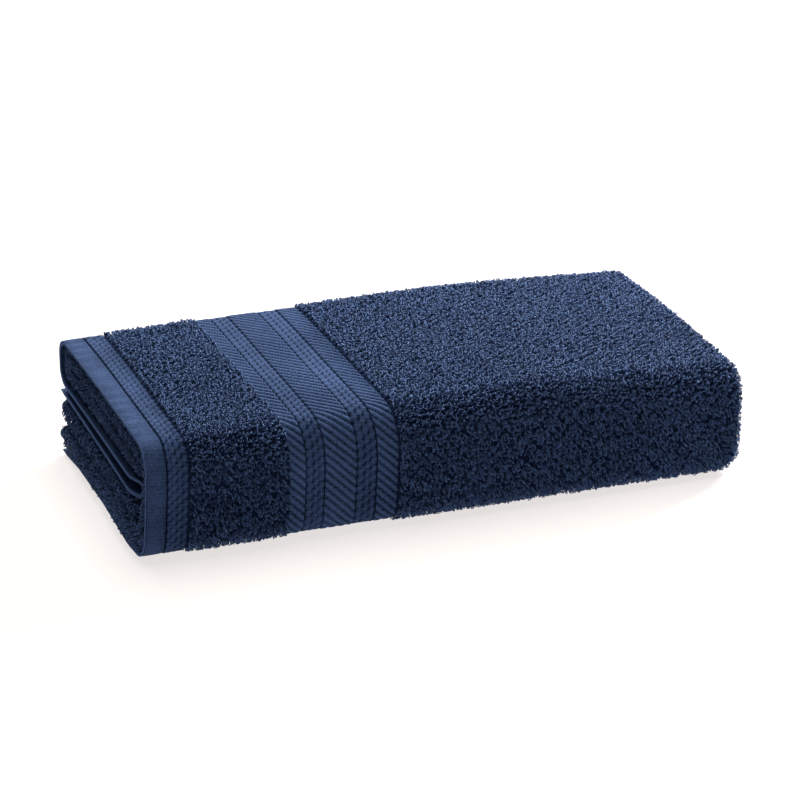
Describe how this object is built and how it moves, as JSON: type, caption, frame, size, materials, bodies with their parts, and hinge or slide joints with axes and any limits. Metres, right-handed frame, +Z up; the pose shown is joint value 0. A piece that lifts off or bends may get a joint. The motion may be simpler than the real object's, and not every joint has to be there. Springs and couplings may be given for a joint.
{
  "type": "folded hand towel",
  "caption": "Hand towel of navy terry cloth, folded into a flat oblong, with a ribbed hem and a woven border across one end.",
  "frame": {"origin": "on the surface that the towel lies on, under the middle of its bounding box", "axes": "+X along the folded towel from its hemmed end to its creased end, +Y from its front to its back, +Z up"},
  "size_m": [0.2675, 0.1315, 0.0555],
  "materials": {
    "terry": "matt cotton loop pile with flat woven bands"
  },
  "bodies": {
    "root": {"towel": "terry"}
  },
  "joints": []
}
